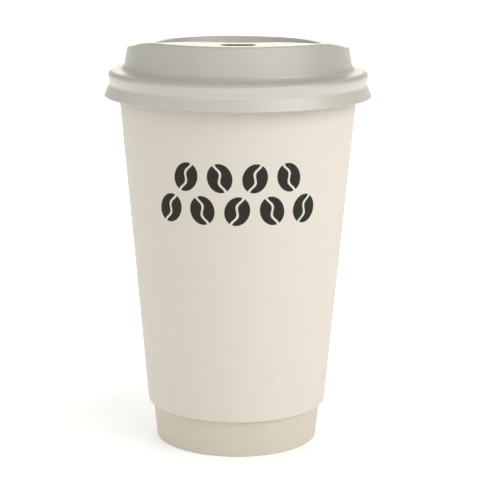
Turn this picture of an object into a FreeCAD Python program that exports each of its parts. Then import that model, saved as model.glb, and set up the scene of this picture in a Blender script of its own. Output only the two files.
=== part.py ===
"""Double-wall paper coffee cup with a moulded sip lid.

Millimetres, +Z up, the foot on z = 0, the cup's axis on x = y = 0 and the sip hole towards -Y.
Four pieces are made: the inner wall with its rolled rim and folded foot, the base disc held in
that fold, the outer wall round the air gap, and the lid.
"""
import math
import os

import FreeCAD
import Part

ROUND_ERROR = 0.14         # most that the flanks of a rounded corner may stay inside its round
CUT_SPARE = 2.0            # how far a cutting solid reaches past what it cuts
JOINED = 1e-6              # places closer than this are one place

# Paper
SIDE_PAPER = 0.35          # inner wall blank
WRAP_PAPER = 0.35          # outer wall blank
BASE_PAPER = 0.30          # base disc
GLUE_LINE = 0.02           # between sealed sheets

# Inner wall
FOOT_RADIUS = 28.62        # outer face at the foot
RIM_HEIGHT = 131.75        # top of the rolled rim
RIM_RADIUS = 44.80         # outside of the rolled rim
ROLL_RADIUS = 1.65         # outside of the roll
ROLL_WIDTH = 2.96          # from the wall's outer face to the outside of the roll
ROLL_GAP = 0.13            # between the wall and the turned-in end of the roll
ROLL_END = 0.4             # straight end of the blank inside the roll
ROLL_TIGHT = 0.96          # share of the room inside the roll that its last bend takes
FOLD_HEIGHT = 5.5          # top of the paper folded up inside the foot
FOLD_ROUND = 0.45          # outside radius of the fold

# Base disc
DISC_HEIGHT = 8.3          # top face of the disc
DISC_BEND = 0.8            # outside radius where the disc turns down
DISC_SKIRT_END = 1.0       # lower edge of its skirt

# Outer wall
WRAP_BOTTOM = 13.4         # underside of the turned-in lower edge
WRAP_STAND = 1.7           # its outer face there, out from the inner wall's outer face
WRAP_DROP = 6.75           # its upper edge, below the top of the rim
WRAP_ROUND = 0.45          # outside radius of the lower edge
WRAP_TURN_UP = 3.0         # height of the leg turned up against the inner wall

# Side seams
LAP_WIDTH = 8.0            # overlap of the blank
LAP_FADE = 5.0             # width over which the covered edge fades out
LAP_ROOT = 0.1             # how far the lap reaches into its own sheet
LAP_OVER_DISC = 0.5        # start of the inner wall's seam, above the disc
LAP_UNDER_ROLL = 0.8       # its end, below the middle of the roll
LAP_OVER_EDGE = 0.6        # start of the outer wall's seam, above its lower edge
LAP_UNDER_TOP = 0.3        # its end, below the upper edge

# Lid
LID_WALL = 0.45            # moulded sheet
RIM_CLEARANCE = 0.05       # between the lid and the rolled rim
SKIRT_DROP = 8.45          # lower edge of the skirt, below the top of the rim
SKIRT_FLARE = 1.45         # its outer face there, out from the side of the bulge
WAIST_DROP = 4.25          # narrowest place, below the top of the rim
WAIST_INSET = 0.4          # its outer face there, in from the side of the bulge
WAIST_ROUND = 1.1          # outer radius of the waist
BULGE_DROP = 0.9           # lower end of the bulge's side, below the middle of the roll
SHOULDER_ROUND = 1.9       # outer radius of the shoulder's edge
SHOULDER_WIDTH = 5.3       # from the side of the bulge to the foot of the dome
DOME_FOOT_ROUND = 2.0      # hollow radius at the foot of the dome
DOME_DRAFT = 10.0          # degrees the dome wall leans in
DOME_RISE = 7.95           # low rim of the dome behind, above the shoulder
MOUTH_RISE = 3.3           # extra height of the mouthpiece in front
MOUTH_OUTER_TURN = (46.0, 86.0)    # degrees from the front, start and end of its outer slope
MOUTH_INNER_TURN = (22.0, 128.0)   # the same along the edge of the pan
TOP_LINES = 29             # lines of the grid, each way, that the top of the dome is drawn through
TOP_SPARE = 0.3            # share of its width by which the top's slope runs on past both edges
DOME_EDGE_BEVEL = 0.55     # bevel round the top of the dome, outside
DOME_BEVEL_LOSS = 0.8      # how much smaller it is on the inner face, per mm of wall
MOUTH_DEPTH = 17.2         # from the front of the dome to the pan, at the low level
PAN_LAND = 2.0             # from the pan to the back of the dome, at the low level
PAN_DEPTH = 5.8            # upper face of the pan's floor, below the low rim of the dome
PAN_DRAFT = 8.0            # degrees its wall leans in
PAN_FLOOR_BEVEL = 0.8      # hollow bevel round the floor
PAN_BEVEL_GAIN = 0.4       # how much larger it is on the underside, per mm of wall
PAN_EDGE_BEVEL = 0.5       # bevel round the pan's mouth
SIP_LENGTH = 12.0          # sip hole, rounded at both ends
SIP_WIDTH = 6.2
SIP_INSET = 8.2            # its centre, in from the front of the dome at the low level
VENT_DIAMETER = 1.4        # vent through the pan's floor
VENT_INSET = 12.6          # its centre, in from the pan's edge at the back


def vector(x, y, z):
    """Place or direction in millimetres."""
    return FreeCAD.Vector(x, y, z)


def wall_slope():
    """Growth of the inner wall's radius per unit of height, from the foot to the rolled rim."""
    return (RIM_RADIUS - ROLL_WIDTH - FOOT_RADIUS) / (RIM_HEIGHT - ROLL_RADIUS)


def wall_radius(height):
    """Radius of the inner wall's outer face at a height."""
    return FOOT_RADIUS + wall_slope() * height


def across(thickness):
    """Horizontal width of a sheet that lies along the inner wall."""
    return thickness * math.hypot(1.0, wall_slope())


def unit(start, end):
    """Direction from one (radius, height) place to another, of length one."""
    length = math.hypot(end[0] - start[0], end[1] - start[1])
    return (end[0] - start[0]) / length, (end[1] - start[1]) / length


def beside(corners, distance):
    """Corners of the line that runs to the left of a line, with the same centres for its rounds.

    A corner is (radius, height, round). A negative distance gives the line on the right.
    """
    moved = []
    last = len(corners) - 1
    for index, corner in enumerate(corners):
        before = unit(corners[max(index - 1, 0)], corners[max(index, 1)])
        after = unit(corners[min(index, last - 1)], corners[min(index + 1, last)])
        turn = before[0] * after[1] - before[1] * after[0]
        scale = distance / (1.0 + before[0] * after[0] + before[1] * after[1])
        r = corner[0] - scale * (before[1] + after[1])
        z = corner[1] + scale * (before[0] + after[0])
        rounding = corner[2] - math.copysign(distance, turn) if corner[2] else 0.0
        moved.append((r, z, max(rounding, 0.0)))
    return moved


def flanks(turn, rounding):
    """How many straight flanks a rounded corner needs to keep close to its round."""
    if rounding <= ROUND_ERROR:
        return 0
    return math.ceil(turn / (2 * math.acos(1 - ROUND_ERROR / rounding)))


def rounded_line(corners):
    """Edges of a line in the XZ plane, each rounded corner turned in equal flanks."""
    edges = []
    reached = corners[0][:2]
    for index in range(1, len(corners)):
        r, z, rounding = corners[index]
        places = [(r, z)]
        if index < len(corners) - 1:
            before = unit(corners[index - 1], corners[index])
            after = unit(corners[index], corners[index + 1])
            turn = math.atan2(before[0] * after[1] - before[1] * after[0],
                              before[0] * after[0] + before[1] * after[1])
            count = flanks(abs(turn), rounding)
            if count:
                places = round_places((r, z), before, turn, rounding, count)
        for place in places:
            edges += straight(reached, place)
            reached = place
    return edges


def round_places(corner, before, turn, rounding, count):
    """Places along the round of a corner that is reached in one direction and left after a turn."""
    back = rounding * math.tan(abs(turn) / 2)
    start = (corner[0] - back * before[0], corner[1] - back * before[1])
    side = math.copysign(rounding, turn)
    middle = (start[0] - side * before[1], start[1] + side * before[0])
    heading = math.atan2(start[1] - middle[1], start[0] - middle[0])
    angles = [heading + turn * step / count for step in range(count + 1)]
    return [(middle[0] + rounding * math.cos(a), middle[1] + rounding * math.sin(a))
            for a in angles]


def straight(start, end):
    """The edge between two places, or nothing where they are the same place."""
    if math.hypot(end[0] - start[0], end[1] - start[1]) < JOINED:
        return []
    return [Part.makeLine(vector(start[0], 0, start[1]), vector(end[0], 0, end[1]))]


def turned(edges):
    """Solid of revolution about the axis from the edges of a closed outline."""
    wire = Part.Wire(Part.__sortEdges__(edges))
    return Part.Face(wire).revolve(vector(0, 0, 0), vector(0, 0, 1), 360)


def sheet(corners, thickness):
    """Revolved sheet whose one face follows the corners and whose stock lies to their left."""
    other = beside(corners, thickness)
    edges = rounded_line(corners) + rounded_line(other)
    edges += straight(corners[0][:2], other[0][:2]) + straight(corners[-1][:2], other[-1][:2])
    return turned(edges)


def lap_outline(height, radius, thickness, side):
    """Closed outline of a side seam at one height, at the back of the cup."""
    root = radius - side * LAP_ROOT
    crest = radius + side * thickness
    edge = LAP_WIDTH / 2 / radius
    fade = (LAP_WIDTH / 2 + LAP_FADE) / radius

    def place(r, angle):
        return vector(-r * math.sin(angle), r * math.cos(angle), height)

    middle = (fade - edge) / 2
    return Part.Wire([
        Part.makeLine(place(root, -edge), place(crest, -edge)),
        Part.Arc(place(crest, -edge), place(crest, 0.0), place(crest, edge)).toShape(),
        Part.makeLine(place(crest, edge), place(root, fade)),
        Part.Arc(place(root, fade), place(root, middle), place(root, -edge)).toShape(),
    ])


def side_lap(low, high, thickness, side):
    """Extra layer of a blank where its ends overlap, between two (radius, height) places."""
    outlines = [lap_outline(height, radius, thickness, side) for radius, height in (low, high)]
    return Part.makeLoft(outlines, True, True)


def rolled_rim():
    """Corners of the inner wall's outer face through the rolled rim."""
    inside = ROLL_RADIUS - SIDE_PAPER
    top = RIM_HEIGHT - SIDE_PAPER
    out = RIM_RADIUS - SIDE_PAPER
    bottom = top - 2 * inside
    inner = wall_radius(RIM_HEIGHT - ROLL_RADIUS) + ROLL_GAP + SIDE_PAPER
    second = (out - inner - inside) * ROLL_TIGHT
    return [
        (wall_radius(top), top, inside),
        (out, top, inside),
        (out, bottom, inside),
        (inner, bottom, second),
        (inner, bottom + second + ROLL_END, 0.0),
    ]


def inner_wall():
    """Conical side blank with a rolled rim, a side seam and its foot folded in round the base."""
    fold = across(2 * SIDE_PAPER + BASE_PAPER + 2 * GLUE_LINE)
    corners = [
        (wall_radius(FOLD_HEIGHT) - fold, FOLD_HEIGHT, 0.0),
        (wall_radius(0.0) - fold, 0.0, FOLD_ROUND),
        (wall_radius(0.0), 0.0, FOLD_ROUND),
    ]
    wall = sheet(corners + rolled_rim(), SIDE_PAPER)
    low, high = DISC_HEIGHT + LAP_OVER_DISC, RIM_HEIGHT - ROLL_RADIUS - LAP_UNDER_ROLL
    inner = across(SIDE_PAPER)
    lap = side_lap((wall_radius(low) - inner, low), (wall_radius(high) - inner, high),
                   SIDE_PAPER, -1)
    return wall.fuse(lap).removeSplitter()


def base_disc():
    """Flat paper disc with a turned-down skirt that the folded foot grips."""
    back = across(SIDE_PAPER + GLUE_LINE)
    return sheet([
        (wall_radius(DISC_SKIRT_END) - back, DISC_SKIRT_END, 0.0),
        (wall_radius(DISC_HEIGHT) - back, DISC_HEIGHT, DISC_BEND),
        (0.0, DISC_HEIGHT, 0.0),
    ], BASE_PAPER)


def outer_wall():
    """Conical wrap sealed to the inner wall under the rim, with its lower edge turned in and up."""
    leg_top = WRAP_BOTTOM + WRAP_TURN_UP
    top = RIM_HEIGHT - WRAP_DROP
    seat = across(GLUE_LINE)
    lower = wall_radius(WRAP_BOTTOM) + WRAP_STAND
    upper = wall_radius(top) + across(GLUE_LINE + WRAP_PAPER)
    wrap = sheet([
        (wall_radius(leg_top) + seat, leg_top, 0.0),
        (wall_radius(WRAP_BOTTOM) + seat, WRAP_BOTTOM, WRAP_ROUND),
        (lower, WRAP_BOTTOM, WRAP_ROUND),
        (upper, top, 0.0),
    ], WRAP_PAPER)
    growth = (upper - lower) / (top - WRAP_BOTTOM)
    ends = [(lower + growth * (height - WRAP_BOTTOM), height)
            for height in (WRAP_BOTTOM + LAP_OVER_EDGE, top - LAP_UNDER_TOP)]
    lap = side_lap(ends[0], ends[1], WRAP_PAPER, 1)
    return wrap.fuse(lap).removeSplitter()


def smooth_step(value):
    """Smooth rise from 0 to 1 as the value goes from 0 to 1."""
    value = max(0.0, min(1.0, value))
    return value * value * (3 - 2 * value)


def dome_level(x, y):
    """Height of the top of the dome: the mouthpiece in front, falling to the low rim behind."""
    turn = math.atan2(abs(x), -y)
    pan = pan_offset() * -math.cos(turn)
    pan += math.sqrt(pan_radius() ** 2 - (pan_offset() * math.sin(turn)) ** 2)
    share = (math.hypot(x, y) - pan) / (dome_radius() - pan)
    share = max(-TOP_SPARE, min(1.0 + TOP_SPARE, share))
    inner_start, inner_end = MOUTH_INNER_TURN
    outer_start, outer_end = MOUTH_OUTER_TURN
    start = inner_start + (outer_start - inner_start) * share
    end = inner_end + (outer_end - inner_end) * share
    fall = smooth_step((math.degrees(turn) - start) / (end - start))
    return low_top() + MOUTH_RISE * (1.0 - fall)


def above_dome(drop):
    """Everything above the top of the dome, or above a level that lies lower by a drop."""
    reach, last = dome_foot_radius() + CUT_SPARE, TOP_LINES - 1
    steps = [-reach + 2 * reach * index / last for index in range(TOP_LINES)]
    grid = [[vector(x, y, dome_level(x, y) - drop) for y in steps] for x in steps]
    surface = Part.BSplineSurface()
    surface.interpolate(grid)
    return surface.toShape().extrude(vector(0, 0, MOUTH_RISE + drop + 3 * CUT_SPARE))


def bulge_radius():
    """Radius of the lid's side where it closes round the rolled rim."""
    return RIM_RADIUS + RIM_CLEARANCE + LID_WALL


def shoulder_top():
    """Level of the lid's shoulder, which rests on the rolled rim."""
    return RIM_HEIGHT + RIM_CLEARANCE + LID_WALL


def low_top():
    """Level of the rim of the dome behind."""
    return shoulder_top() + DOME_RISE


def dome_foot_radius():
    """Outer face of the dome where it meets the shoulder."""
    return bulge_radius() - SHOULDER_WIDTH


def dome_radius():
    """Outer face of the dome at the low level."""
    return dome_foot_radius() - math.tan(math.radians(DOME_DRAFT)) * DOME_RISE


def pan_radius():
    """Radius of the pan at the low level, between the mouthpiece and the land behind it."""
    return dome_radius() - (MOUTH_DEPTH + PAN_LAND) / 2


def pan_offset():
    """How far the pan's centre lies behind the cup's axis."""
    return dome_radius() - PAN_LAND - pan_radius()


def pan_floor():
    """Upper face of the pan's floor."""
    return low_top() - PAN_DEPTH


def lid_outline():
    """Corners of the lid's outer face from the skirt's edge to above the dome."""
    bulge = bulge_radius()
    height = DOME_RISE + MOUTH_RISE + CUT_SPARE
    lean = math.tan(math.radians(DOME_DRAFT))
    return [
        (bulge + SKIRT_FLARE, RIM_HEIGHT - SKIRT_DROP, 0.0),
        (bulge - WAIST_INSET, RIM_HEIGHT - WAIST_DROP, WAIST_ROUND),
        (bulge, RIM_HEIGHT - ROLL_RADIUS - BULGE_DROP, 0.0),
        (bulge, shoulder_top(), SHOULDER_ROUND),
        (dome_foot_radius(), shoulder_top(), DOME_FOOT_ROUND),
        (dome_foot_radius() - lean * height, shoulder_top() + height, 0.0),
    ]


def pan_tool(inset):
    """Solid that sinks the pan: its upper face, or the underside when the inset is the wall."""
    lean = math.tan(math.radians(PAN_DRAFT))
    grow = inset / math.cos(math.radians(PAN_DRAFT))
    floor, above = pan_floor() - inset, MOUTH_RISE + CUT_SPARE
    low = pan_radius() - lean * (low_top() - floor) + grow
    high = pan_radius() + lean * above + grow
    tool = Part.makeCone(low, high, low_top() + above - floor, vector(0, pan_offset(), floor))
    rim = [e for e in tool.Edges if e.BoundBox.ZMax < floor + PAN_FLOOR_BEVEL / 2]
    return tool.makeChamfer(PAN_FLOOR_BEVEL + PAN_BEVEL_GAIN * inset, rim)


def lid_form(inset):
    """Filled form inside the lid's outer face, or inside its inner face when inset by the wall."""
    corners = beside(lid_outline(), inset)
    if inset:
        along = unit(corners[1], corners[0])
        corners[0] = (corners[0][0] + CUT_SPARE * along[0],
                      corners[0][1] + CUT_SPARE * along[1], 0.0)
    edges = rounded_line(corners)
    first, last = corners[0], corners[-1]
    edges += straight((0.0, first[1]), first[:2]) + straight(last[:2], (0.0, last[1]))
    edges += straight((0.0, last[1]), (0.0, first[1]))
    form = turned(edges).cut(above_dome(inset))
    form = form.makeChamfer(DOME_EDGE_BEVEL - DOME_BEVEL_LOSS * inset,
                            top_edges(form, inset, dome_foot_radius()))
    form = form.cut(pan_tool(inset))
    if inset:
        return form
    return form.makeChamfer(PAN_EDGE_BEVEL, top_edges(form, inset, pan_radius() + CUT_SPARE))


def top_edges(form, inset, reach):
    """Edges round the top of the dome, or only those of the pan's mouth with a smaller reach."""
    low = low_top() - inset - 1.1 * DOME_EDGE_BEVEL
    return [e for e in form.Edges
            if e.BoundBox.ZMin > low and e.BoundBox.XMax < reach and e.Length > CUT_SPARE]


def sip_hole():
    """Rounded slot through the mouthpiece."""
    half = (SIP_LENGTH - SIP_WIDTH) / 2
    low, height = low_top() - CUT_SPARE, MOUTH_RISE + 2 * CUT_SPARE
    setback = dome_radius() - SIP_INSET
    ends = [Part.makeCylinder(SIP_WIDTH / 2, height, vector(x, -setback, low))
            for x in (-half, half)]
    middle = Part.makeBox(2 * half, SIP_WIDTH, height, vector(-half, -setback - SIP_WIDTH / 2, low))
    return middle.fuse(ends).removeSplitter()


def vent_hole():
    """Round hole through the pan's floor, near the back."""
    setback = pan_offset() + pan_radius() - VENT_INSET
    return Part.makeCylinder(VENT_DIAMETER / 2, LID_WALL + 2 * CUT_SPARE,
                             vector(0, setback, pan_floor() - LID_WALL - CUT_SPARE))


def lid():
    """Moulded shell: snap skirt, shoulder, dome with mouthpiece, sunken pan and its holes."""
    shell = lid_form(0.0).cut(lid_form(LID_WALL))
    return shell.cut(sip_hole()).cut(vent_hole())


PIECES = {
    "inner_wall": inner_wall,
    "base_disc": base_disc,
    "outer_wall": outer_wall,
    "lid": lid,
}


def main():
    """Writes one file for each piece."""
    os.makedirs("parts", exist_ok=True)
    for name, make in PIECES.items():
        make().exportStep(os.path.join("parts", name + ".step"))


main()
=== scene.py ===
"""Looks of a double-wall paper coffee cup with a moulded sip lid.

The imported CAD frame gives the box, the bodies and the material slots. Each of its four pieces is
replaced by a finer skin of the same size: the rolled and folded inner wall, the base disc, the
printed outer wrap and the lid. Lengths are written in millimetres and turned into metres when a
mesh is made. The front of the cup, with the sip hole, faces -Y.
"""
from __future__ import annotations

import logging
import math
from dataclasses import dataclass, field
from enum import Enum

import bpy
import numpy as np
from mathutils import Matrix, Vector

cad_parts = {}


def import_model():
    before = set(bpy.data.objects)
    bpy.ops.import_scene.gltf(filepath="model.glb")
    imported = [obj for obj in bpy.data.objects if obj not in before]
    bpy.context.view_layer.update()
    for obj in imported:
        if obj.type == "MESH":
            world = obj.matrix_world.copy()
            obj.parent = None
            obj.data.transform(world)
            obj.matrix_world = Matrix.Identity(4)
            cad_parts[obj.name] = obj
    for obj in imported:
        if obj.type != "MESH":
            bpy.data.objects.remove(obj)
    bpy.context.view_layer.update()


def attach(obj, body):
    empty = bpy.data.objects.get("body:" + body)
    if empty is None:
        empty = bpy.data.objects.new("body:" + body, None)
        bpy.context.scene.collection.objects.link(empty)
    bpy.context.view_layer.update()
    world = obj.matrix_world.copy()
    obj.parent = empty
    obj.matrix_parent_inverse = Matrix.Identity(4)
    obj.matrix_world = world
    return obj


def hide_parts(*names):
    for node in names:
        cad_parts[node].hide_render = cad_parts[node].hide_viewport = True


LOG = logging.getLogger("coffee_cup")
Colour = tuple[float, float, float]
Paint = Colour | bpy.types.NodeSocket
MILLIMETRE = 0.001
TINY = 1e-12
FEWEST_FLANKS = 3
FLANKS_PER_ROOT = 3.0
LEAST_ROUNDING = 0.02
FLAT_MARGIN = 0.25
ANGLE_DIGITS = 7
MIX_SHARE, MIX_FIRST, MIX_SECOND, MIX_COLOUR = 0, 6, 7, 2


class Slot(Enum):
    """Material slots of the record."""

    CUP_PAPER = "cup_paper"
    BASE_PAPER = "base_paper"
    WRAP_PAPER = "wrap_paper"
    LID_PLASTIC = "lid_plastic"


@dataclass(frozen=True)
class Corner:
    """One corner of a section, which may differ from column to column.

    Attributes:
        radius: Distance from the axis, one number or one per column.
        height: Height above the table, one number or one per column.
        rounding: Radius that the corner is rounded to.
        span: Rows laid on the way to this corner.
    """

    radius: float | np.ndarray
    height: float | np.ndarray
    rounding: float = 0.0
    span: int = 3

    @property
    def steps(self) -> int:
        """Flanks of the round, which grow with the root of its radius."""
        return FEWEST_FLANKS + math.ceil(FLANKS_PER_ROOT * math.sqrt(self.rounding))


@dataclass
class Ring:
    """Columns of a surface round the axis, as angles from the front towards +X.

    Attributes:
        angles: The angles in radians, rising by less than a full turn in all.
    """

    angles: np.ndarray

    @classmethod
    def even(cls, count: int, extra: np.ndarray | None = None) -> Ring:
        """Evenly spaced columns from +X on, with some extra ones among them.

        Args:
            count: Number of even columns.
            extra: Further angles in radians, from a quarter turn to five quarters.

        Returns:
            The ring.
        """
        angles = math.pi / 2 + np.arange(count) * (2 * math.pi / count)
        if extra is not None:
            angles = np.unique(np.concatenate([angles, extra]).round(ANGLE_DIGITS))
        return cls(angles)

    @property
    def outward(self) -> np.ndarray:
        """Unit vectors from the axis, (sin a, -cos a, 0) for each angle a."""
        return np.stack([np.sin(self.angles), -np.cos(self.angles), 0 * self.angles], axis=-1)

    def place(self, radius: float | np.ndarray, height: float | np.ndarray) -> np.ndarray:
        """Points at a radius and a height, one for each column: radius times outward, plus height.

        Args:
            radius: Distance from the axis.
            height: Height above the table.

        Returns:
            Array of (columns, 3).
        """
        points = self.outward * np.broadcast_to(radius, self.angles.shape)[:, None]
        points[:, 2] = height
        return points


def unit(vectors: np.ndarray) -> np.ndarray:
    """Vectors scaled to length one along their last axis."""
    return vectors / np.maximum(np.linalg.norm(vectors, axis=-1, keepdims=True), TINY)


def rows_between(start: np.ndarray, end: np.ndarray, count: int) -> np.ndarray:
    """Rows on the straight way from one row to the next, without those two.

    A point is start + t * (end - start). The first and last t keep close to the ends, so that the
    shading of a round doesn't run out over the flat beside it.

    Args:
        start: Points of the first row, (columns, 3).
        end: Points of the last row.
        count: Number of rows.

    Returns:
        Array of (count, columns, 3).
    """
    length = float(np.linalg.norm(end - start, axis=-1).mean())
    near = min(FLAT_MARGIN / max(length, TINY), 1.0 / (count + 1))
    shares = np.linspace(near, 1.0 - near, count) if count > 1 else np.full(count, 0.5)
    return start + shares[:, None, None] * (end - start)


def rounded_rows(places: np.ndarray, corners: list[Corner]) -> np.ndarray:
    """Rows along a line of corners, each rounded to its radius.

    With u and w the unit directions before and after a corner C, turn the angle between them and
    n the part of w square to u, the round starts at T = C - r tan(turn / 2) u and its points are
    T + r sin(t) u + r (1 - cos(t)) n for t from 0 to turn.

    Args:
        places: Places of the corners, (corners, columns, 3).
        corners: The corners, for their roundings and spans.

    Returns:
        Array of (rows, columns, 3).
    """
    rows = [places[:1]]
    for index in range(1, len(corners)):
        corner, place = corners[index], places[index]
        arc = place[None]
        if corner.rounding > 0 and index < len(corners) - 1:
            before, after = unit(place - places[index - 1]), unit(places[index + 1] - place)
            cosine = np.clip((before * after).sum(-1, keepdims=True), -1.0, 1.0)
            side = unit(after - cosine * before)
            turn = np.arccos(cosine)
            start = place - corner.rounding * np.tan(turn / 2) * before
            sweep = np.linspace(0.0, 1.0, corner.steps + 1)[:, None, None] * turn
            arc = start + corner.rounding * (np.sin(sweep) * before + (1 - np.cos(sweep)) * side)
        rows.append(rows_between(rows[-1][-1], arc[0], corner.span))
        rows.append(arc)
    return np.concatenate(rows)


def beside(corners: list[Corner], distance: float) -> list[Corner]:
    """Corners of the line to the left of a section's line, with the same centres for its rounds.

    Each corner moves by distance / (1 + u.w) times the sum of the two left normals, where u and w
    are the directions before and after it.

    Args:
        corners: Corners whose radius and height are plain numbers.
        distance: Distance between the lines in millimetres.

    Returns:
        The corners of the other line, in the same order.
    """
    points = np.array([(c.radius, c.height) for c in corners], float)
    ways = unit(np.diff(points, axis=0))
    before, after = np.vstack([ways[:1], ways]), np.vstack([ways, ways[-1:]])
    turn = before[:, 0] * after[:, 1] - before[:, 1] * after[:, 0]
    scale = distance / (1.0 + (before * after).sum(1))
    left = np.stack([-(before + after)[:, 1], (before + after)[:, 0]], axis=1)
    moved = points + scale[:, None] * left
    rounds = [max(c.rounding - math.copysign(distance, t), LEAST_ROUNDING) if c.rounding else 0.0
              for c, t in zip(corners, turn)]
    spans = [c.span for c in corners]
    return [Corner(float(p[0]), float(p[1]), r, s) for p, r, s in zip(moved, rounds, spans)]


def sheet_rows(ring: Ring, corners: list[Corner], thickness: float) -> tuple[np.ndarray, int]:
    """Closed section of a sheet: its one face along the corners, its stock to their left.

    Args:
        ring: Columns round the axis.
        corners: Corners of the first face.
        thickness: Thickness of the sheet in millimetres.

    Returns:
        Rows of both faces as one closed loop, and how many of them are the first face's.
    """
    faces = []
    for line in (corners, beside(corners, thickness)):
        places = np.stack([ring.place(c.radius, c.height) for c in line])
        faces.append(rounded_rows(places, line))
    return np.concatenate([faces[0], faces[1][::-1]]), len(faces[0])


@dataclass
class Skin:
    """A grid of points that closes round the axis and becomes one mesh.

    Attributes:
        rows: Points in millimetres, (rows, columns, 3).
        closed: Whether the last row joins the first.
        start_pole: Whether the first row is one point.
        end_pole: Whether the last row is one point.
    """

    rows: np.ndarray
    closed: bool = False
    start_pole: bool = False
    end_pole: bool = False
    numbers: np.ndarray = field(init=False)
    points: np.ndarray = field(init=False)
    cells: np.ndarray = field(init=False)
    kept: np.ndarray = field(init=False)
    patches: list[np.ndarray] = field(init=False, default_factory=list)

    def __post_init__(self) -> None:
        """Numbers the grid's points and cells."""
        count, width = self.rows.shape[:2]
        numbers = np.arange(count * width).reshape(count, width)
        if self.closed:
            numbers = np.vstack([numbers, numbers[:1]])
        if self.start_pole:
            numbers[0] = numbers[0, 0]
        if self.end_pole:
            numbers[-1] = numbers[-1, 0]
        self.numbers = np.hstack([numbers, numbers[:, :1]])
        self.points = self.rows.reshape(-1, 3).copy()
        self.cells = self.quads(self.numbers)
        self.kept = np.ones(self.cells.shape[:2], bool)

    @staticmethod
    def quads(numbers: np.ndarray) -> np.ndarray:
        """Cells between the neighbours of a grid of point numbers, as four numbers each."""
        return np.stack([numbers[:-1, :-1], numbers[:-1, 1:], numbers[1:, 1:], numbers[1:, :-1]],
                        axis=-1)

    def pierce(self, rows: tuple[int, int], columns: tuple[int, int], hole: Slotted) -> None:
        """Takes a block of cells out of a flat part and fills it in round a hole.

        The points of the block's border move towards the hole's outline along the ray from its
        centre, in equal shares, which gives the rings of the new cells.

        Args:
            rows: First and last row of the block's border.
            columns: First and last column of the border.
            hole: Outline of the hole.
        """
        (top, bottom), (left, right) = rows, columns
        self.kept[top:bottom, left:right] = False
        border = np.concatenate([
            self.numbers[top, left:right], self.numbers[top:bottom, right],
            self.numbers[bottom, right:left:-1], self.numbers[bottom:top:-1, left]])
        start = self.points[border]
        target = hole.outline(start)
        shares = (np.arange(1, hole.rings + 1) / hole.rings)[:, None, None]
        fresh = start + shares * (target - start)
        first = len(self.points)
        self.points = np.vstack([self.points, fresh.reshape(-1, 3)])
        added = first + np.arange(fresh.shape[0] * fresh.shape[1]).reshape(fresh.shape[:2])
        loops = np.vstack([border[None], added])
        loops = np.hstack([loops, loops[:, :1]])
        self.patches.append(self.quads(loops).reshape(-1, 4))

    def faces(self) -> np.ndarray:
        """All cells as four numbers each, turned to face out of the solid.

        Returns:
            Array of (cells, 4), in which a cell at a pole names that point twice.
        """
        cells = np.vstack([self.cells[self.kept], *self.patches])
        a, b, c, d = (self.points[cells[:, k]] for k in range(4))
        volume = np.einsum("ij,ij->i", a, np.cross(b, c) + np.cross(c, d)).sum()
        return cells if volume > 0 else cells[:, ::-1]

    def mesh_object(self, name: str) -> bpy.types.Object:
        """Puts the grid into a new smooth-shaded object in the scene.

        Args:
            name: Name of the object and its mesh.

        Returns:
            The object, at the origin.
        """
        cells = self.faces()
        repeated = cells == np.roll(cells, -1, axis=1)
        at_pole = repeated.any(1)
        whole = cells[~at_pole]
        narrow = cells[at_pole][~repeated[at_pole]].reshape(-1, 3)
        used, inverse = np.unique(np.concatenate([whole.ravel(), narrow.ravel()]),
                                  return_inverse=True)
        points = self.points[used] * MILLIMETRE
        whole = inverse[:whole.size].reshape(-1, 4)
        narrow = inverse[whole.size:].reshape(-1, 3)
        mesh = bpy.data.meshes.new(name)
        mesh.from_pydata(points.tolist(), [], whole.tolist() + narrow.tolist())
        mesh.polygons.foreach_set("use_smooth", np.ones(len(mesh.polygons), bool))
        mesh.update()
        made = bpy.data.objects.new(name, mesh)
        bpy.context.scene.collection.objects.link(made)
        return made


@dataclass(frozen=True)
class Slotted:
    """Outline of a round hole or of a slot with round ends that lies along X.

    Attributes:
        centre: Its middle in plan.
        straight: Half the length between the centres of its ends, 0 for a round hole.
        radius: Radius of its ends.
        room: Room beside it along X and Y that is filled with cells of its own.
        rings: Rings of those cells.
    """

    centre: tuple[float, float]
    straight: float
    radius: float
    room: tuple[float, float]
    rings: int

    def outline(self, points: np.ndarray) -> np.ndarray:
        """Where the rays from the centre through some points meet the outline.

        With c and s the ray's cosine and sine, it meets a straight side at radius / |s| if that
        lies between the end centres, and an end at h |c| + sqrt(radius^2 - (h s)^2) otherwise,
        where h is the half length.

        Args:
            points: Points round the hole, (points, 3).

        Returns:
            Points of the outline at the same heights.
        """
        ray = unit(points[:, :2] - np.array(self.centre))
        c, s = np.abs(ray[:, 0]), np.abs(ray[:, 1])
        side = self.radius / np.maximum(s, TINY)
        inside = np.sqrt(np.maximum(self.radius ** 2 - (self.straight * s) ** 2, 0.0))
        reach = np.where(side * c <= self.straight, side, self.straight * c + inside)
        found = points.copy()
        found[:, :2] = np.array(self.centre) + ray * reach[:, None]
        return found


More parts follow.
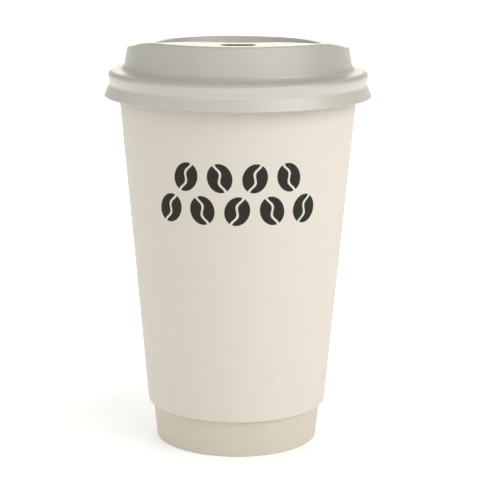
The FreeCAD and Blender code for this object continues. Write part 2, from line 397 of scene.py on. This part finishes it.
class Signal:
    """A number that varies over a surface, held as a node's output."""

    def __init__(self, nodes: NodeBench, socket: bpy.types.NodeSocket) -> None:
        """Holds the socket and the bench that its nodes stand on."""
        self.nodes = nodes
        self.socket = socket

    def maths(self, operation: str, *others: Signal | float, clamp: bool = False,
              swap: bool = False) -> Signal:
        """One Math node on this number and others.

        Args:
            operation: Its operation.
            others: Further operands.
            clamp: Whether the result is kept between 0 and 1.
            swap: Whether this number comes second.

        Returns:
            The result.
        """
        operands = [self, *others]
        if swap:
            operands.reverse()
        made = self.nodes.add("ShaderNodeMath", {"operation": operation, "use_clamp": clamp},
                              dict(enumerate(operands)))
        return Signal(self.nodes, made.outputs[0])

    def __add__(self, other: Signal | float) -> Signal:
        """Sum."""
        return self.maths("ADD", other)

    __radd__ = __add__

    def __sub__(self, other: Signal | float) -> Signal:
        """Difference."""
        return self.maths("SUBTRACT", other)

    def __rsub__(self, other: float) -> Signal:
        """Difference from a number."""
        return self.maths("SUBTRACT", other, swap=True)

    def __mul__(self, other: Signal | float) -> Signal:
        """Product."""
        return self.maths("MULTIPLY", other)

    __rmul__ = __mul__

    def __truediv__(self, other: Signal | float) -> Signal:
        """Quotient."""
        return self.maths("DIVIDE", other)

    def sine(self) -> Signal:
        """Sine of an angle in radians."""
        return self.maths("SINE")

    def size(self) -> Signal:
        """Absolute value."""
        return self.maths("ABSOLUTE")

    def root(self) -> Signal:
        """Square root."""
        return self.maths("SQRT")

    def part(self) -> Signal:
        """Fractional part, from 0 to 1 also below zero."""
        return self.maths("FRACT")

    def held(self) -> Signal:
        """The value kept between 0 and 1."""
        return self.maths("ADD", 0.0, clamp=True)

    def larger(self, other: Signal | float) -> Signal:
        """The larger of two."""
        return self.maths("MAXIMUM", other)

    def ramp(self, start: float, gain: float) -> Signal:
        """The gain times what the value is past the start, kept between 0 and 1."""
        return ((self - start) * gain).held()


class NodeBench:
    """Makes and links the nodes of one material or world."""

    def __init__(self, tree: bpy.types.NodeTree) -> None:
        """Clears the tree that the nodes go into."""
        self.tree = tree
        tree.nodes.clear()

    def add(self, kind: str, settings: dict | None = None,
            sockets: dict | None = None) -> bpy.types.Node:
        """One node, with its settings made first and its sockets filled or linked after.

        Args:
            kind: The node's type.
            settings: Its properties by name.
            sockets: Numbers, colours, signals or outputs by input name or number.

        Returns:
            The node.
        """
        node = self.tree.nodes.new(kind)
        for name, value in (settings or {}).items():
            setattr(node, name, value)
        for key, value in (sockets or {}).items():
            source = value.socket if isinstance(value, Signal) else value
            if isinstance(source, bpy.types.NodeSocket):
                self.tree.links.new(source, node.inputs[key])
            else:
                node.inputs[key].default_value = source
        return node

    def signal(self, node: bpy.types.Node, output: int | str = 0) -> Signal:
        """One output of a node as a number."""
        return Signal(self, node.outputs[output])

    def place(self) -> tuple[bpy.types.NodeSocket, Signal, Signal, Signal]:
        """The object's own coordinates in metres.

        Returns:
            The coordinates as one socket, and x, y and z.
        """
        whole = self.add("ShaderNodeTexCoord").outputs["Object"]
        parts = self.add("ShaderNodeSeparateXYZ", None, {0: whole})
        x, y, z = (self.signal(parts, axis) for axis in range(3))
        return whole, x, y, z

    def noise(self, place: bpy.types.NodeSocket, grain: float, detail: float = 2.0,
              stretch: tuple[float, float, float] = (1.0, 1.0, 1.0)) -> Signal:
        """Soft noise about 0.5.

        Args:
            place: Coordinates in metres.
            grain: Size of its grains in millimetres.
            detail: Finer layers that are added.
            stretch: How many times longer a grain is along x, y and z.

        Returns:
            The noise.
        """
        scaled = self.add("ShaderNodeVectorMath", {"operation": "MULTIPLY"},
                          {0: place, 1: tuple(1.0 / s for s in stretch)}).outputs[0]
        made = self.add("ShaderNodeTexNoise", {"noise_dimensions": "3D"},
                        {"Vector": scaled, "Scale": 1.0 / (grain * MILLIMETRE), "Detail": detail,
                         "Roughness": 0.5})
        return self.signal(made, "Fac")

    def blend(self, share: Signal, first: Paint, second: Paint) -> bpy.types.NodeSocket:
        """Colour between two, by a share from 0 to 1."""
        node = self.add("ShaderNodeMix", {"data_type": "RGBA"},
                        {MIX_SHARE: share, MIX_FIRST: solid(first), MIX_SECOND: solid(second)})
        return node.outputs[MIX_COLOUR]

    def relief(self, height: Signal, depth: float) -> bpy.types.NodeSocket:
        """Normal of a relief whose height from 0 to 1 stands for a depth in millimetres."""
        node = self.add("ShaderNodeBump", None,
                        {"Strength": 1.0, "Distance": depth * MILLIMETRE, "Height": height})
        return node.outputs["Normal"]

    def surface(self, sockets: dict) -> None:
        """Ends the tree in a Principled shader with these sockets."""
        shader = self.add("ShaderNodeBsdfPrincipled", None, sockets)
        self.add("ShaderNodeOutputMaterial", None, {"Surface": shader.outputs[0]})


def solid(colour: Paint) -> tuple[float, ...] | bpy.types.NodeSocket:
    """A colour with its alpha, or the socket that was given."""
    return (*colour, 1.0) if isinstance(colour, tuple) else colour


def new_material(name: str) -> tuple[bpy.types.Material, NodeBench]:
    """Makes a fresh material.

    Args:
        name: Its name.

    Returns:
        The material and the bench for its nodes.
    """
    material = bpy.data.materials.new(name)
    material.use_nodes = True
    return material, NodeBench(material.node_tree)


@dataclass(frozen=True)
class Print:
    """Two rows of coffee beans printed round the front of the wrap, in millimetres.

    Each row gives the height of its middle and how many beans it has. The wall is the wrap's
    radius at the table and its growth per millimetre of height. A wave splits each bean.
    """

    ink: Colour = (0.022, 0.018, 0.013)
    worn: Colour = (0.060, 0.054, 0.044)
    pitch: float = 12.0
    half_width: float = 4.35
    half_height: float = 5.1
    tilt: float = 18.0
    rows: tuple[tuple[float, int], ...] = ((100.2, 4), (89.0, 5))
    wall: tuple[float, float] = (30.54, 0.0934)
    soft_edge: float = 0.12
    wave_rate: float = 0.95
    wave_swing: float = 0.62
    half_split: float = 0.36

    def share(self, x: Signal, y: Signal, z: Signal) -> Signal:
        """Where ink lies.

        The arc length from the front is the angle times the wall's radius. It is cut into cells
        of one pitch, and a bean fills the ellipse about each cell's middle but for a waved split
        down its length. Every other bean is mirrored.

        Args:
            x: How far a point lies to the right, in metres.
            y: How far it lies behind the axis.
            z: How far it lies above the table.

        Returns:
            1 in the ink and 0 outside it.
        """
        height = z * (1.0 / MILLIMETRE)
        angle = x.maths("ARCTAN2", -1.0 * y)
        arc = angle * (height * self.wall[1] + self.wall[0])
        ink = None
        for middle, count in self.rows:
            cells = arc / self.pitch + 0.5 * (count % 2)
            across = (cells.part() - 0.5) * self.pitch
            mirror = (cells * 0.5).part().maths("GREATER_THAN", 0.5) * 2.0 - 1.0
            bean = self.bean(across * mirror, height - middle)
            limit = arc.size().maths("LESS_THAN", count * self.pitch / 2)
            ink = bean * limit if ink is None else ink.larger(bean * limit)
        return ink

    def bean(self, across: Signal, up: Signal) -> Signal:
        """One bean about the origin.

        The point is turned by the tilt to (p, q). The bean is where
        sqrt((p / half_width)^2 + (q / half_height)^2) < 1 and p is not close to a sine along q.

        Args:
            across: Distance to the right of its middle in millimetres.
            up: Distance above its middle.

        Returns:
            1 in the bean and 0 outside it.
        """
        cosine, sine = math.cos(math.radians(self.tilt)), math.sin(math.radians(self.tilt))
        p = across * cosine + up * sine
        q = up * cosine - across * sine
        body = (p * p / self.half_width ** 2 + q * q / self.half_height ** 2).root()
        inside = body.ramp(1.0, -self.half_width / self.soft_edge)
        wave = (q * self.wave_rate).sine() * self.wave_swing
        beside_split = (p - wave).size().ramp(self.half_split, 1.0 / self.soft_edge)
        return inside * beside_split


@dataclass(frozen=True)
class Paper:
    """Uncoated paperboard with faint fibres.

    The grain is a fine noise, given as its size in millimetres and its stretch along x, y and z,
    and the cloud a coarse one. Fibres show from a level of the grain on, with a gain. The wear is
    how strongly the grain wears the ink, and the wear all over.
    """

    name: str
    colour: Colour
    fibre: Colour
    roughness: float = 0.66
    gloss: float = 0.3
    density: float = 1.45
    relief: float = 0.012
    printing: Print | None = None
    grain: tuple[float, tuple[float, float, float]] = (0.28, (1.0, 1.0, 0.45))
    cloud: float = 5.0
    fibre_ramp: tuple[float, float] = (0.42, 0.77)
    cloud_share: float = 0.5
    rough_spread: float = 0.10
    wear: tuple[float, float] = (0.5, 0.06)
    ink_roughness: float = 0.08
    fine_relief: float = 0.75

    def material(self) -> bpy.types.Material:
        """Builds the material.

        The colour goes towards the fibre colour with a fine noise stretched round the cup and a
        cloudy one. The relief is made of the same two.

        Returns:
            The material.
        """
        material, nodes = new_material(self.name)
        whole, x, y, z = nodes.place()
        size, stretch = self.grain
        fine = nodes.noise(whole, size, detail=3.0, stretch=stretch)
        cloud = nodes.noise(whole, self.cloud)
        level, strength = self.fibre_ramp
        share = ((fine - level) * strength + (cloud - 0.5) * self.cloud_share).held()
        colour = nodes.blend(share, self.colour, self.fibre)
        roughness = (fine - 0.5) * self.rough_spread + self.roughness
        if self.printing:
            ink = self.printing.share(x, y, z)
            by_grain, everywhere = self.wear
            worn = nodes.blend((fine - 0.5) * by_grain + everywhere, self.printing.ink,
                               self.printing.worn)
            colour = nodes.blend(ink, colour, worn)
            roughness = roughness + ink * self.ink_roughness
        height = fine * self.fine_relief + cloud * (1.0 - self.fine_relief)
        nodes.surface({"Base Color": colour, "Roughness": roughness, "IOR": self.density,
                       "Specular IOR Level": self.gloss,
                       "Normal": nodes.relief(height, self.relief)})
        return material


@dataclass(frozen=True)
class LidPlastic:
    """Satin moulded plastic of the lid.

    It is deep in its faint clouds. Its skirt is painted a lighter colour: painted light for the
    extra light that the skirt's upward-leaning face catches.
    Clouds show from a level on, with a gain. They and the grain move the roughness.
    """

    name: str = "lid_plastic"
    colour: Colour = (0.440, 0.418, 0.362)
    deep: Colour = (0.415, 0.392, 0.337)
    # painted light: lighter colour painted on the skirt, full from the given top height down past
    # the fade
    painted_skirt_light: Colour = (0.545, 0.515, 0.450)
    painted_light_top: float = 131.6
    painted_light_fade: float = 1.2
    roughness: float = 0.42
    gloss: float = 1.0
    density: float = 1.65
    relief: float = 0.02
    cloud: float = 9.0
    grain: float = 0.5
    cloud_ramp: tuple[float, float] = (0.35, 1.6)
    rough_spread: tuple[float, float] = (0.06, 0.05)
    cloud_relief: float = 0.8

    def material(self) -> bpy.types.Material:
        """Builds the material.

        A cloudy noise moves the colour a little, and with a finer one also the roughness and the
        relief of the moulded face. From the top of the skirt down the colour turns to a lighter
        one, which is painted light.

        Returns:
            The material.
        """
        material, nodes = new_material(self.name)
        whole, _, _, z = nodes.place()
        cloud = nodes.noise(whole, self.cloud)
        grain = nodes.noise(whole, self.grain)
        # painted light: share of the lighter skirt colour, 0 above the skirt's top and 1 from a
        # fade below it
        skirt = (z * (1.0 / MILLIMETRE)).ramp(self.painted_light_top, -1.0 / self.painted_light_fade)
        colour = nodes.blend(cloud.ramp(*self.cloud_ramp), self.colour, self.deep)
        colour = nodes.blend(skirt, colour, self.painted_skirt_light)
        by_cloud, by_grain = self.rough_spread
        roughness = (cloud - 0.5) * by_cloud + (grain - 0.5) * by_grain + self.roughness
        height = cloud * self.cloud_relief + grain * (1.0 - self.cloud_relief)
        nodes.surface({"Base Color": colour, "Roughness": roughness, "IOR": self.density,
                       "Specular IOR Level": self.gloss,
                       "Normal": nodes.relief(height, self.relief)})
        return material


@dataclass(frozen=True)
class SideSeam:
    """Overlap of a blank's ends, which runs down the back of the cup.

    Its widths are laid off at the radius: the overlap, the fade of the covered end and the step
    of the cut edge. Further columns lie beside that edge and on the fade.
    """

    width: float = 8.0
    fade: float = 5.0
    step: float = 0.03
    radius: float = 37.0
    beside_edge: float = 0.008
    fade_steps: int = 4

    def stops(self) -> np.ndarray:
        """Angles from the back where the lift changes its slope, in radians."""
        half = self.width / 2
        return np.array([-half - self.step, -half, half, half + self.fade]) / self.radius

    def columns(self, count: int) -> Ring:
        """Even columns with a few more at the seam.

        Args:
            count: Number of even columns.

        Returns:
            The ring.
        """
        stops = self.stops()
        edge = stops[:2] + [-self.beside_edge, self.beside_edge]
        fade = np.linspace(stops[2], stops[3], self.fade_steps + 1)[1:-1]
        return Ring.even(count, math.pi + np.concatenate([stops, edge, fade]))

    def lift(self, ring: Ring, thickness: float) -> np.ndarray:
        """How far the sheet stands out: its thickness across the lap, then a slope back to 0."""
        return np.interp(ring.angles - math.pi, self.stops(), [0.0, 1.0, 1.0, 0.0]) * thickness


@dataclass(frozen=True)
class CupShape:
    """Sizes that the paper pieces share, in millimetres.

    The slope is the growth of the inner wall's radius per millimetre of height, and the glue the
    gap between sealed sheets.
    """

    foot_radius: float = 28.62
    slope: float = 0.1016
    paper: float = 0.35
    glue: float = 0.02
    columns: int = 224

    def wall(self, height: float) -> float:
        """Radius of the inner wall's outer face at a height."""
        return self.foot_radius + self.slope * height

    def across(self, thickness: float) -> float:
        """Horizontal width of a sheet that lies along the wall."""
        return thickness * math.hypot(1.0, self.slope)


def dress(piece: bpy.types.Object, material: bpy.types.Material, node: str) -> None:
    """Gives a piece its finish and its place in the frame.

    Args:
        piece: The new piece.
        material: Its finish.
        node: CAD node that it stands for.
    """
    piece.data.materials.append(material)
    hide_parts(node)
    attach(piece, "root")


@dataclass
class InnerWall:
    """Side blank of the cup, rolled at the rim and folded in at the foot.

    The last turn of the roll takes a tight share of its room. The lap of the side seam stays
    clear of the base disc below and of the roll above.
    """

    shape: CupShape
    rim_height: float = 131.75
    rim_radius: float = 44.80
    roll: float = 1.65
    roll_gap: float = 0.13
    roll_tight: float = 0.96
    roll_end: float = 0.4
    fold_height: float = 5.5
    fold_round: float = 0.45
    base_paper: float = 0.30
    disc_height: float = 8.3
    lap_clear: tuple[float, float] = (0.5, 0.8)
    finish: Paper = Paper("cup_paper", (0.750, 0.680, 0.578), (0.635, 0.560, 0.455))

    def corners(self) -> list[Corner]:
        """Lays out the outer face, from the fold's edge round the foot and up into the roll.

        Returns:
            Its corners.
        """
        s = self.shape
        fold = s.across(2 * s.paper + self.base_paper + 2 * s.glue)
        inside = self.roll - s.paper
        top, out = self.rim_height - s.paper, self.rim_radius - s.paper
        inner = s.wall(self.rim_height - self.roll) + self.roll_gap + s.paper
        second = (out - inner - inside) * self.roll_tight
        bottom = top - 2 * inside
        return [
            Corner(s.wall(self.fold_height) - fold, self.fold_height),
            Corner(s.wall(0.0) - fold, 0.0, self.fold_round, span=6),
            Corner(s.wall(0.0), 0.0, self.fold_round, span=2),
            Corner(s.wall(top), top, inside, span=36),
            Corner(out, top, inside, span=1),
            Corner(out, bottom, inside, span=1),
            Corner(inner, bottom, second, span=1),
            Corner(inner, bottom + second + self.roll_end, span=2),
        ]

    def build(self) -> bpy.types.Object:
        """Builds the piece.

        Both faces of the sheet are turned round the axis as one closed section, and the side seam
        lifts the inner face at the back, between the base and the rim.

        Returns:
            The finished piece.
        """
        s = self.shape
        seam = SideSeam()
        ring = seam.columns(s.columns)
        rows, outer = sheet_rows(ring, self.corners(), s.paper)
        heights = rows[:, 0, 2]
        above_disc, below_roll = self.lap_clear
        face = (np.arange(len(rows)) >= outer) & (heights > self.disc_height + above_disc)
        face &= heights < self.rim_height - self.roll - below_roll
        face &= np.linalg.norm(rows[:, 0, :2], axis=1) < s.wall(heights)
        rows -= (face[:, None] * seam.lift(ring, s.paper))[..., None] * ring.outward
        piece = Skin(rows, closed=True).mesh_object("rolled_inner_wall")
        dress(piece, self.finish.material(), "inner_wall")
        return piece


@dataclass
class BaseDisc:
    """Paper disc of the base with its turned-down skirt."""

    shape: CupShape
    height: float = 8.3
    bend: float = 0.8
    skirt_end: float = 1.0
    paper: float = 0.30
    columns: int = 180
    finish: Paper = Paper("base_paper", (0.700, 0.625, 0.530), (0.590, 0.505, 0.410))

    def build(self) -> bpy.types.Object:
        """Builds the piece from one line that runs from the middle of its underside round the
        skirt to the middle of its top.

        Returns:
            The finished piece.
        """
        s = self.shape
        back = s.across(s.paper + s.glue)
        flat_span, skirt_span = 14, 8
        outside = [
            Corner(s.wall(self.skirt_end) - back, self.skirt_end, span=1),
            Corner(s.wall(self.height) - back, self.height, self.bend, span=skirt_span),
            Corner(0.0, self.height, span=flat_span),
        ]
        under = beside(outside, self.paper)[::-1]
        spans = (0, flat_span, skirt_span)
        line = [Corner(c.radius, c.height, c.rounding, n) for c, n in zip(under, spans)]
        line += outside
        ring = Ring.even(self.columns)
        places = np.stack([ring.place(c.radius, c.height) for c in line])
        rows = rounded_rows(places, line)
        piece = Skin(rows, start_pole=True, end_pole=True).mesh_object("base_paper_disc")
        dress(piece, self.finish.material(), "base_disc")
        return piece


@dataclass
class OuterWall:
    """Printed wrap round the air gap, with its lower edge turned in and up."""

    shape: CupShape
    bottom: float = 13.4
    foot_radius: float = 31.68
    top: float = 125.0
    edge_round: float = 0.45
    turn_up: float = 3.0
    lap_start: float = 0.5
    finish: Paper = Paper("wrap_paper", (0.822, 0.766, 0.674), (0.746, 0.682, 0.584),
                          printing=Print())

    def build(self) -> bpy.types.Object:
        """Builds the piece.

        Both faces of the sheet are turned round the axis as one closed section, and the side seam
        lifts the outer face at the back.

        Returns:
            The finished piece.
        """
        s = self.shape
        leg, seat = self.bottom + self.turn_up, s.across(s.glue)
        corners = [
            Corner(s.wall(leg) + seat, leg),
            Corner(s.wall(self.bottom) + seat, self.bottom, self.edge_round),
            Corner(self.foot_radius, self.bottom, self.edge_round, span=2),
            Corner(s.wall(self.top) + s.across(s.glue + s.paper), self.top, span=40),
        ]
        seam = SideSeam()
        ring = seam.columns(s.columns)
        rows, outer = sheet_rows(ring, corners, s.paper)
        heights = rows[:, 0, 2]
        radii = np.linalg.norm(rows[:, 0, :2], axis=1)
        face = (np.arange(len(rows)) < outer) & (heights > self.bottom + self.lap_start)
        face &= radii > self.foot_radius
        rows += (face[:, None] * seam.lift(ring, s.paper))[..., None] * ring.outward
        piece = Skin(rows, closed=True).mesh_object("printed_outer_wrap")
        dress(piece, self.finish.material(), "outer_wall")
        return piece


@dataclass
class Lid:
    """Moulded lid: snap skirt, shoulder, dome with mouthpiece, sunken pan, sip hole and vent.

    The skirt's edge, the waist that snaps in under the rim and the bulge round the rim are given
    as a radius and a height. Drafts are degrees from upright. Turns are the degrees from the
    front between which the dome's outer edge and the pan's edge fall to the low top.
    """

    wall: float = 0.45
    skirt: tuple[float, float] = (46.75, 123.3)
    waist: tuple[float, float] = (44.9, 127.5)
    waist_round: float = 2.2
    bulge: tuple[float, float] = (45.3, 129.2)
    bulge_round: float = 8.0
    shoulder: float = 132.25
    shoulder_round: float = 1.9
    dome_foot: float = 40.0
    dome_foot_round: float = 2.0
    dome_draft: float = 10.0
    low_top: float = 140.2
    mouth_rise: float = 3.3
    outer_turn: tuple[float, float] = (46.0, 86.0)
    inner_turn: tuple[float, float] = (22.0, 128.0)
    edge_round: float = 0.75
    pan_radius: float = 29.0
    pan_offset: float = 7.6
    pan_draft: float = 8.0
    pan_floor: float = 134.4
    pan_floor_round: float = 1.2
    slot: Slotted = Slotted((0.0, -30.4), 2.9, 3.1, room=(3.0, 3.6), rings=5)
    vent: Slotted = Slotted((0.0, 24.0), 0.0, 0.7, room=(1.6, 2.2), rings=3)
    columns: int = 240
    finish: LidPlastic = LidPlastic()

    def level(self, angles: np.ndarray, turn: tuple[float, float]) -> np.ndarray:
        """Height of the dome's top along one of its edges.

        It is the low level plus the rise times 1 - t^2 (3 - 2 t), where t goes from 0 to 1
        between the two angles of the turn, on both sides of the front.

        Args:
            angles: Angles from the front in radians.
            turn: Start and end of the slope in degrees.

        Returns:
            Heights in millimetres.
        """
        side = np.degrees(np.abs((angles + math.pi) % (2 * math.pi) - math.pi))
        t = np.clip((side - turn[0]) / (turn[1] - turn[0]), 0.0, 1.0)
        return self.low_top + self.mouth_rise * (1.0 - t * t * (3.0 - 2.0 * t))

    def rows(self, ring: Ring) -> np.ndarray:
        """Rows of the outer face from the skirt's edge to the middle of the pan.

        The dome's edge lies on a circle about the axis and the pan's mouth on one whose centre is
        set back by d, at -d cos a + sqrt(R^2 - (d sin a)^2) from the axis at angle a. The last
        two corners, the floor's edge and its middle, are placed about the pan's own centre.

        Args:
            ring: Columns round the axis.

        Returns:
            Array of (rows, columns, 3).
        """
        a = ring.angles
        outer, inner = self.level(a, self.outer_turn), self.level(a, self.inner_turn)
        lean, pan_lean = (math.tan(math.radians(d)) for d in (self.dome_draft, self.pan_draft))
        mouth = self.pan_radius + pan_lean * (inner - self.low_top)
        reach = -self.pan_offset * np.cos(a) + np.sqrt(
            mouth ** 2 - (self.pan_offset * np.sin(a)) ** 2)
        corners = [
            Corner(*self.skirt),
            Corner(*self.waist, self.waist_round, span=5),
            Corner(*self.bulge, self.bulge_round, span=1),
            Corner(self.bulge[0], self.shoulder, self.shoulder_round, span=2),
            Corner(self.dome_foot, self.shoulder, self.dome_foot_round),
            Corner(self.dome_foot - lean * (outer - self.shoulder), outer, self.edge_round, span=8),
            Corner(reach, inner, self.edge_round, span=16),
            Corner(0.0, self.pan_floor, self.pan_floor_round, span=6),
            Corner(0.0, self.pan_floor, span=18),
        ]
        places = np.stack([ring.place(c.radius, c.height) for c in corners])
        middle = np.array([0.0, self.pan_offset, self.pan_floor])
        ways = places[-3] - middle
        ways[:, 2] = 0.0
        floor = self.pan_radius - pan_lean * (self.low_top - self.pan_floor)
        places[-2] = middle + unit(ways) * floor
        places[-1] = middle
        return rounded_rows(places, corners)

    def block(self, rows: np.ndarray, ring: Ring, hole: Slotted,
              level: float) -> tuple[tuple[int, int], tuple[int, int]]:
        """Rows and columns of the grid that border a hole and its room.

        Args:
            rows: The grid.
            ring: Its columns.
            hole: The hole, in front of or behind the axis.
            level: Height of the flat that it lies in.

        Returns:
            First and last row, and first and last column.
        """
        flatness = 0.02
        behind = hole.centre[1] > 0
        way = math.pi if behind else 2 * math.pi
        line = rows[:, np.abs(ring.angles - way).argmin()]
        near = np.abs(line[:, 2] - level) < flatness
        near &= np.abs(line[:, 1] - hole.centre[1]) < hole.radius + hole.room[1]
        found = np.flatnonzero(near)
        across = rows[found[len(found) // 2]]
        close = np.abs(across[:, 0] - hole.centre[0]) < hole.straight + hole.radius + hole.room[0]
        close &= (across[:, 1] > 0) == behind
        beside_it = np.flatnonzero(close)
        return (int(found[0]), int(found[-1])), (int(beside_it[0]), int(beside_it[-1]))

    def build(self) -> bpy.types.Object:
        """Builds the piece: the outer face as one grid with its two holes, and a Solidify
        modifier that gives it the wall on the inside.

        Returns:
            The finished piece.
        """
        ring = Ring.even(self.columns)
        rows = self.rows(ring)
        skin = Skin(rows, end_pole=True)
        for hole, level in ((self.slot, self.low_top + self.mouth_rise),
                            (self.vent, self.pan_floor)):
            skin.pierce(*self.block(rows, ring, hole, level), hole)
        piece = skin.mesh_object("moulded_sip_lid")
        shell = piece.modifiers.new("wall", "SOLIDIFY")
        shell.thickness = self.wall * MILLIMETRE
        shell.offset = -1.0
        shell.use_even_offset = True
        dress(piece, self.finish.material(), "lid")
        return piece


@dataclass(frozen=True)
class Lamp:
    """One soft box.

    Its turn is in degrees from the front towards +X, its rise in degrees above the table, its
    distance and side in metres and its power in watts.
    """

    name: str
    turn: float
    rise: float
    distance: float
    side: float
    power: float
    colour: Colour = (1.0, 1.0, 1.0)

    def build(self, aim: Vector) -> None:
        """Hangs the lamp and turns it to the cup.

        Args:
            aim: Point that it lights.
        """
        data = bpy.data.lights.new(self.name, "AREA")
        data.shape = "SQUARE"
        data.size = self.side
        data.energy = self.power
        data.color = self.colour
        lamp = bpy.data.objects.new(self.name, data)
        turn, rise = math.radians(self.turn), math.radians(self.rise)
        way = Vector((math.sin(turn) * math.cos(rise), -math.cos(turn) * math.cos(rise),
                      math.sin(rise)))
        lamp.location = aim + way * self.distance
        lamp.rotation_euler = way.to_track_quat("Z", "Y").to_euler()
        bpy.context.scene.collection.objects.link(lamp)


@dataclass(frozen=True)
class Window:
    """Bright patch of the surroundings that only glossy faces mirror.

    It begins where the cosine of the angle to its turn, in degrees from the front towards +X, is
    the edge, and grows from there with the gain. Its height and reach are sines of a rise.
    """

    turn: float
    edge: float
    gain: float
    height: float
    reach: float
    strength: float

    def share(self, east: Signal, north: Signal, up: Signal) -> Signal:
        """Its strength in each way: a ramp about its turn times a tent about its height.

        Args:
            east: How far the way points towards +X.
            north: How far it points towards +Y.
            up: How far it points up.

        Returns:
            The strength.
        """
        turn = math.radians(self.turn)
        towards = east * math.sin(turn) - north * math.cos(turn)
        tent = (up - self.height).size().ramp(self.reach, -1.0 / self.reach)
        return towards.ramp(self.edge, self.gain) * tent * self.strength


@dataclass(frozen=True)
class Studio:
    """Pale floor, soft boxes, even surroundings and the camera.

    The ambient is the surroundings' strength as a light. Glossy faces mirror them white low
    behind the cup, with windows in front, and dim elsewhere: from the given height of a way on,
    or where it points less to the back than given, each with how fast. The floor's glow is its
    level at the cup, the distance in metres from which it grows, and how fast.
    """

    ambient: float = 0.62
    dim: float = 0.31
    dim_above: tuple[float, float] = (0.30, 3.0)
    dim_beside: tuple[float, float] = (0.9643, -2.8)
    windows: tuple[Window, ...] = (
        Window(0.0, 0.5, 2.0, 0.15, 0.30, 2.45),
        Window(0.0, 0.3, 2.0, 0.55, 0.35, 0.93),
        Window(-60.0, 0.6, 2.5, 0.25, 0.50, 0.83),
    )
    room_colour: Colour = (1.0, 1.0, 0.995)
    floor_size: float = 40.0
    floor_colour: Colour = (0.90, 0.90, 0.895)
    floor_roughness: float = 0.9
    floor_light: Colour = (1.0, 1.0, 0.99)
    floor_glow: tuple[float, float, float] = (0.25, 0.06, 4.0)
    aim: tuple[float, float, float] = (0.0, 0.0, 0.07)
    lamps: tuple[Lamp, ...] = (
        Lamp("key_softbox", 34.0, 32.0, 1.4, 0.75, 2.3),
        Lamp("side_key_softbox", 62.0, 30.0, 1.4, 0.75, 4.5),
        Lamp("left_softbox", -95.0, 20.0, 1.8, 2.0, 4.6, (0.88, 1.0, 0.96)),
        Lamp("back_softbox", 180.0, 19.0, 1.6, 0.9, 5.6, (1.0, 0.97, 0.90)),
        Lamp("overhead_softbox", 0.0, 86.0, 1.4, 0.9, 2.0),
    )
    camera_place: tuple[float, float, float] = (0.00098, -0.600, 0.200)
    pitch: float = 12.12
    roll: float = 0.32
    focal_pixels: float = 1723.9
    image_width: float = 480.0
    sensor_width: float = 36.0

    def rays(self, nodes: NodeBench) -> tuple[Signal, Signal]:
        """Tells rays apart.

        Args:
            nodes: Bench of the floor or the world.

        Returns:
            1 for rays from the camera or through a clear surface, and 1 for rays from a glossy one.
        """
        path = nodes.add("ShaderNodeLightPath")
        camera, clear, glossy = (nodes.signal(path, f"Is {kind} Ray")
                                 for kind in ("Camera", "Transmission", "Glossy"))
        return camera.larger(clear), glossy

    def build_floor(self) -> None:
        """Lays the floor: pale and matt, and to the eye and glossy faces also a white glow that
        grows with the distance, so that only the cup's shadow stays grey."""
        half = self.floor_size / 2
        mesh = bpy.data.meshes.new("studio_floor")
        mesh.from_pydata([(-half, -half, 0), (half, -half, 0), (half, half, 0), (-half, half, 0)],
                         [], [(0, 1, 2, 3)])
        floor = bpy.data.objects.new("studio_floor", mesh)
        bpy.context.scene.collection.objects.link(floor)
        material, nodes = new_material("studio_floor")
        _, x, y, _ = nodes.place()
        eye, glossy = self.rays(nodes)
        near, start, gain = self.floor_glow
        far = (x * x + y * y).root().ramp(start, gain)
        glow = eye.larger(glossy) * (far * (1.0 - near) + near)
        nodes.surface({"Base Color": solid(self.floor_colour), "Roughness": self.floor_roughness,
                       "Specular IOR Level": 0.0, "Emission Strength": 1.0,
                       "Emission Color": nodes.blend(glow, (0.0, 0.0, 0.0), self.floor_light)})
        mesh.materials.append(material)

    def build_world(self) -> None:
        """Makes surroundings that light the cup evenly, look white to the eye, and are mirrored
        by glossy faces as the class says."""
        world = bpy.data.worlds.new("studio_room")
        world.use_nodes = True
        nodes = NodeBench(world.node_tree)
        eye, glossy = self.rays(nodes)
        way = nodes.add("ShaderNodeTexCoord").outputs["Generated"]
        parts = nodes.add("ShaderNodeSeparateXYZ", None, {0: way})
        east, north, up = (nodes.signal(parts, axis) for axis in range(3))
        dimmed = up.ramp(*self.dim_above).larger(north.ramp(*self.dim_beside))
        mirrored = 1.0 - dimmed * (1.0 - self.dim)
        for window in self.windows:
            mirrored = mirrored + window.share(east, north, up)
        strength = eye.larger(glossy * (mirrored - self.ambient) + self.ambient)
        shader = nodes.add("ShaderNodeBackground", None,
                           {"Color": solid(self.room_colour), "Strength": strength})
        nodes.add("ShaderNodeOutputWorld", None, {"Surface": shader.outputs[0]})
        bpy.context.scene.world = world

    def build_camera(self) -> None:
        """Sets the camera in front, a little above the rim and pitched down to the cup."""
        data = bpy.data.cameras.new("photo_camera")
        data.sensor_fit = "HORIZONTAL"
        data.sensor_width = self.sensor_width
        data.lens = self.focal_pixels / self.image_width * self.sensor_width
        camera = bpy.data.objects.new("photo_camera", data)
        camera.matrix_world = (
            Matrix.Translation(Vector(self.camera_place))
            @ Matrix.Rotation(math.radians(90.0 - self.pitch), 4, "X")
            @ Matrix.Rotation(math.radians(self.roll), 4, "Z"))
        bpy.context.scene.collection.objects.link(camera)
        bpy.context.scene.camera = camera

    def build(self) -> None:
        """Builds floor, surroundings, lamps and camera."""
        self.build_floor()
        self.build_world()
        for lamp in self.lamps:
            lamp.build(Vector(self.aim))
        self.build_camera()
        bpy.context.scene.view_settings.view_transform = "Standard"


def main() -> None:
    """Builds the cup and its studio."""
    logging.basicConfig(level=logging.INFO, format="%(message)s")
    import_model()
    shape = CupShape()
    for part in (InnerWall(shape), BaseDisc(shape), OuterWall(shape), Lid()):
        piece = part.build()
        LOG.info("%s built: %d faces", piece.name, len(piece.data.polygons))
    Studio().build()


if __name__ == "__main__":
    main()
